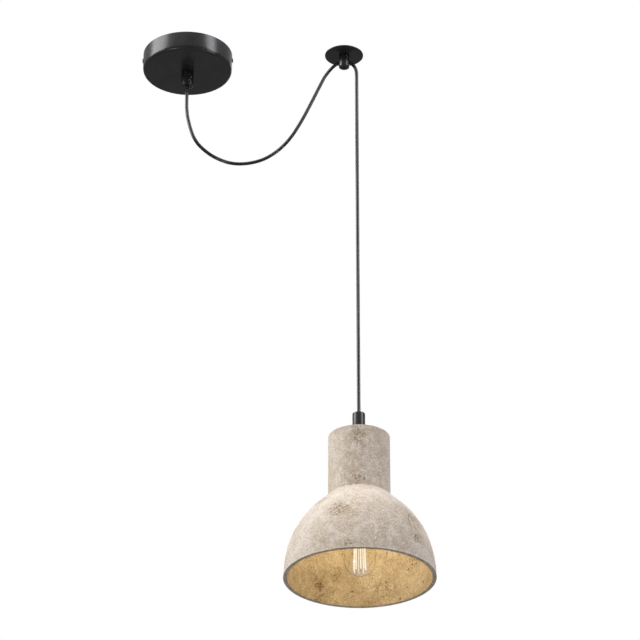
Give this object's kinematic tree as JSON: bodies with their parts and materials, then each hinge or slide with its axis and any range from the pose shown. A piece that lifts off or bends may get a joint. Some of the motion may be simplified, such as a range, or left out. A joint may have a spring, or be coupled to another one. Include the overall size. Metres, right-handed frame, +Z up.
{
  "type": "pendant ceiling light",
  "caption": "Concrete dome pendant light on a cord swagged from a round ceiling canopy to a ceiling hook, with a screw-in filament bulb.",
  "frame": {"origin": "middle of the canopy bracket's top face, on the ceiling", "axes": "+Z up into the ceiling, +X from the canopy to the ceiling hook, +Y to the back"},
  "size_m": [0.3839, 0.19, 0.792],
  "materials": {
    "black_paint": "satin",
    "black_cord": "satin",
    "concrete": "matte",
    "zinc_steel": "bright zinc",
    "black_plastic": "matte",
    "white_plastic": "matte",
    "brass": "plain",
    "ceramic": "matte",
    "rubber": "matte",
    "brown_sleeve": "satin",
    "blue_sleeve": "satin",
    "clear_glass": "clear",
    "bulb_cap_metal": "nickel",
    "filament": "glowing"
  },
  "bodies": {
    "ceiling_fixings": {"mounting_bracket": "zinc_steel", "bracket_screw_left": "zinc_steel", "bracket_screw_right": "zinc_steel", "side_screw_right": "black_paint", "side_screw_left": "black_paint", "terminal_block": "white_plastic", "terminal_screw_1": "brass", "terminal_screw_2": "brass", "terminal_screw_3": "brass", "terminal_screw_4": "brass", "earth_screw": "brass", "hook_disc": "black_paint", "hook_post": "black_paint", "hook_stud": "zinc_steel", "cord_swag": "black_cord", "cord_end_canopy": "black_cord", "wire_live_canopy": "brown_sleeve", "wire_neutral_canopy": "blue_sleeve"},
    "canopy": {"canopy_cup": "black_paint", "canopy_nipple": "zinc_steel", "canopy_washer": "zinc_steel", "canopy_nut": "zinc_steel", "canopy_cord_grip": "black_paint", "canopy_grip_screw": "black_plastic"},
    "clamp_screw": {"hook_clamp_screw": "black_paint"},
    "drop_top": {"cord_top": "black_cord"},
    "drop": {"cord_drop": "black_cord"},
    "shade": {"concrete_shade": "concrete", "shade_top_washer": "black_paint", "shade_seat_washer": "rubber", "shade_clamp_washer": "zinc_steel", "shade_nut": "zinc_steel", "shade_nipple": "zinc_steel", "shade_cord_grip": "black_paint", "shade_grip_screw": "black_plastic", "lampholder_cap": "black_plastic", "lampholder_body": "black_plastic", "lampholder_insert": "ceramic", "lampholder_thread_shell": "brass", "lampholder_centre_contact": "brass", "holder_screw_live": "brass", "holder_screw_neutral": "brass", "wire_live_holder": "brown_sleeve", "wire_neutral_holder": "blue_sleeve", "cord_end_holder": "black_cord"},
    "bulb": {"bulb_glass": "clear_glass", "bulb_screw_cap": "bulb_cap_metal", "bulb_insulator": "black_plastic", "bulb_tip_contact": "brass", "bulb_stem": "clear_glass", "bulb_upper_ring": "zinc_steel", "bulb_lower_ring": "zinc_steel", "bulb_filament_1": "filament", "bulb_filament_2": "filament", "bulb_filament_3": "filament", "bulb_filament_4": "filament", "bulb_filament_5": "filament", "bulb_filament_6": "filament", "bulb_filament_7": "filament", "bulb_filament_8": "filament"}
  },
  "joints": [
    {"name": "canopy_slides_down_cord", "type": "slide", "parent": "ceiling_fixings", "child": "canopy", "axis": [0, 0, -1], "range_m": [0, 0.03]},
    {"name": "clamp_screw_out", "type": "slide", "parent": "ceiling_fixings", "child": "clamp_screw", "axis": [0, 0, -1], "range_m": [0, 0.006]},
    {"name": "swing_along_swag", "type": "hinge", "parent": "ceiling_fixings", "child": "drop_top", "pos_m": [0.2278, 0, -0.033], "axis": [0, 1, 0], "range_deg": [-30, 30]},
    {"name": "swing_across_swag", "type": "hinge", "parent": "drop_top", "child": "drop", "pos_m": [0.2278, 0, -0.06], "axis": [1, 0, 0], "range_deg": [-30, 30]},
    {"name": "shade_twists_on_cord", "type": "hinge", "parent": "drop", "child": "shade", "pos_m": [0.2278, 0, -0.5406], "axis": [0, 0, 1], "range_deg": [-180, 180]},
    {"name": "bulb_out", "type": "slide", "parent": "shade", "child": "bulb", "axis": [0, 0, -1], "range_m": [0, 0.03]}
  ]
}
